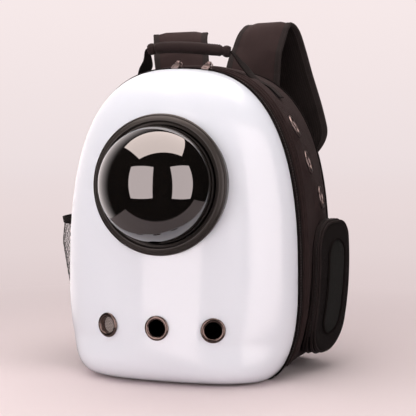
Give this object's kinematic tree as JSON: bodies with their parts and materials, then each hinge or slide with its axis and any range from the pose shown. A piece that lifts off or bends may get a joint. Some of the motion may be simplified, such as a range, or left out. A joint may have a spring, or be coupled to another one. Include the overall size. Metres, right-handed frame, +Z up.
{
  "type": "pet carrier backpack",
  "caption": "Pet carrier backpack with a glossy white domed front, a smoked bubble window in a black ring, metal air vents, a zipped black fabric body and padded shoulder straps.",
  "frame": {"origin": "on the floor, in the middle of the flat base", "axes": "+Z up, -Y out of the front through the window, +X to the right seen from the front"},
  "size_m": [0.4169, 0.418, 0.4935],
  "materials": {
    "white_shell": "glossy moulded white",
    "black_plastic": "satin moulded black",
    "smoked_window": "polished dark smoked",
    "dark_metal": "polished gunmetal plating",
    "silver_metal": "satin nickel plating",
    "vent_wire": "fine woven wire",
    "tape": "woven black webbing and binding tape",
    "zip_coil": "moulded nylon coil",
    "body_cloth": "matt coated woven black cloth",
    "padding": "padded black cloth",
    "net_cloth": "black net"
  },
  "bodies": {
    "bag": {"front_shell": "white_shell", "window_ring": "black_plastic", "adjuster_left": "black_plastic", "adjuster_right": "black_plastic", "dome_window": "smoked_window", "front_eyelet_left": "dark_metal", "front_eyelet_centre": "dark_metal", "front_eyelet_right": "dark_metal", "side_eyelet_right_1": "silver_metal", "side_eyelet_left_1": "silver_metal", "side_eyelet_right_2": "silver_metal", "side_eyelet_left_2": "silver_metal", "side_eyelet_right_3": "silver_metal", "side_eyelet_left_3": "silver_metal", "zip_slider_left": "silver_metal", "zip_slider_right": "silver_metal", "vent_mesh": "vent_wire", "shell_binding": "tape", "zip_tape_front": "tape", "zip_tape_back": "tape", "back_binding": "tape", "handle_web_left": "tape", "handle_web_right": "tape", "strap_web_left": "tape", "strap_web_right": "tape", "pocket_piping": "tape", "net_band": "tape", "zip_coil": "zip_coil", "pocket_zip": "zip_coil", "foot_hinge": "body_cloth", "gusset": "body_cloth", "side_pocket": "body_cloth", "back_panel": "padding", "handle_grip": "padding", "strap_left": "padding", "strap_right": "padding", "net_pocket": "net_cloth", "pocket_insert": "net_cloth"},
    "pull_tab_left": {"pull_tab_left": "silver_metal"},
    "pull_tab_right": {"pull_tab_right": "silver_metal"}
  },
  "joints": [
    {"name": "tab_left_swing", "type": "hinge", "parent": "bag", "child": "pull_tab_left", "pos_m": [-0.0091, -0.038, 0.42675], "axis": [-0.9999, 0, -0.0146], "range_deg": [0, 100]},
    {"name": "tab_right_swing", "type": "hinge", "parent": "bag", "child": "pull_tab_right", "pos_m": [0.03494, -0.038, 0.42504], "axis": [-0.9912, 0, 0.1326], "range_deg": [0, 100]}
  ]
}
